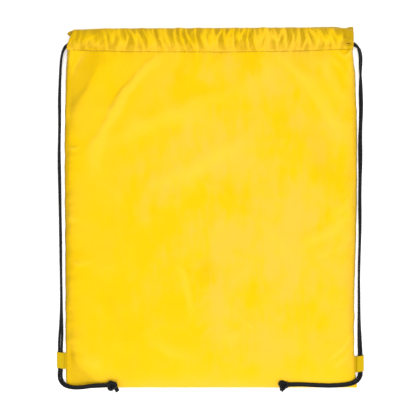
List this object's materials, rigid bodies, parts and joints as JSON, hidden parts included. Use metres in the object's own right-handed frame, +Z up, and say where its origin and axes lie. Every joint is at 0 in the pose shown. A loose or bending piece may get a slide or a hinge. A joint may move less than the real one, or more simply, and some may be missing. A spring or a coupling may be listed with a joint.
{
  "type": "drawstring backpack",
  "caption": "Flat cloth drawstring backpack; drawcords run through the mouth's casing and down both sides as shoulder cords to corner tabs, where they are knotted.",
  "frame": {"origin": "on the surface the bag lies on, under the middle of the bag", "axes": "+Z up off the surface and out of the bag's front, +Y towards the mouth, +X to the right of a viewer who looks down on the front"},
  "size_m": [0.3606, 0.4262, 0.022],
  "materials": {
    "panel_cloth": "bright yellow woven nylon with a soft sheen",
    "casing_cloth": "the same yellow nylon, doubled over and gathered",
    "cloth_inside": "raw edge of the yellow nylon, overlocked",
    "tab_cloth": "folded strip of the yellow nylon",
    "cord": "black braided polyester cord",
    "thread": "yellow polyester sewing thread"
  },
  "bodies": {
    "bag": {"back_panel": "panel_cloth", "back_casing": "casing_cloth", "back_casing_stitch": "thread", "bottom_seam": "cloth_inside", "bottom_stitch": "thread", "left_side_seam": "cloth_inside", "right_side_seam": "cloth_inside", "left_side_stitch": "thread", "right_side_stitch": "thread", "left_tab_tail": "cloth_inside", "right_tab_tail": "cloth_inside", "left_drawcord_back_run": "cord", "right_drawcord_back_run": "cord", "left_drawcord_turn": "cord", "right_drawcord_turn": "cord", "left_cord_front_strand": "cord", "left_cord_back_strand": "cord", "right_cord_front_strand": "cord", "right_cord_back_strand": "cord"},
    "front": {"front_panel": "panel_cloth", "front_casing": "casing_cloth", "front_casing_stitch": "thread", "left_drawcord_front_run": "cord", "right_drawcord_front_run": "cord"},
    "left_tab": {"left_tab": "tab_cloth", "left_tab_cords": "cord"},
    "right_tab": {"right_tab": "tab_cloth", "right_tab_cords": "cord"},
    "left_cord_end": {"left_cord_end_outer": "cord", "left_cord_end_inner": "cord", "left_knot": "cord", "left_knot_tails": "cord"},
    "right_cord_end": {"right_cord_end_outer": "cord", "right_cord_end_inner": "cord", "right_knot": "cord", "right_knot_tails": "cord"}
  },
  "joints": [
    {"name": "mouth_open", "type": "hinge", "parent": "bag", "child": "front", "pos_m": [0, -0.21, 0.0006], "axis": [1, 0, 0], "range_deg": [0, 7]},
    {"name": "left_tab_flex", "type": "hinge", "parent": "bag", "child": "left_tab", "pos_m": [-0.1726, -0.178, 0.0023], "axis": [0, 1, 0], "range_deg": [0, 75]},
    {"name": "right_tab_flex", "type": "hinge", "parent": "bag", "child": "right_tab", "pos_m": [0.1726, -0.182, 0.0023], "axis": [0, -1, 0], "range_deg": [0, 75]},
    {"name": "left_cord_end_swing", "type": "hinge", "parent": "bag", "child": "left_cord_end", "pos_m": [-0.18, -0.1908, 0.0025], "axis": [0, 0, -1], "range_deg": [0, 60]},
    {"name": "right_cord_end_swing", "type": "hinge", "parent": "bag", "child": "right_cord_end", "pos_m": [0.1798, -0.1948, 0.0025], "axis": [0, 0, 1], "range_deg": [0, 60]}
  ]
}
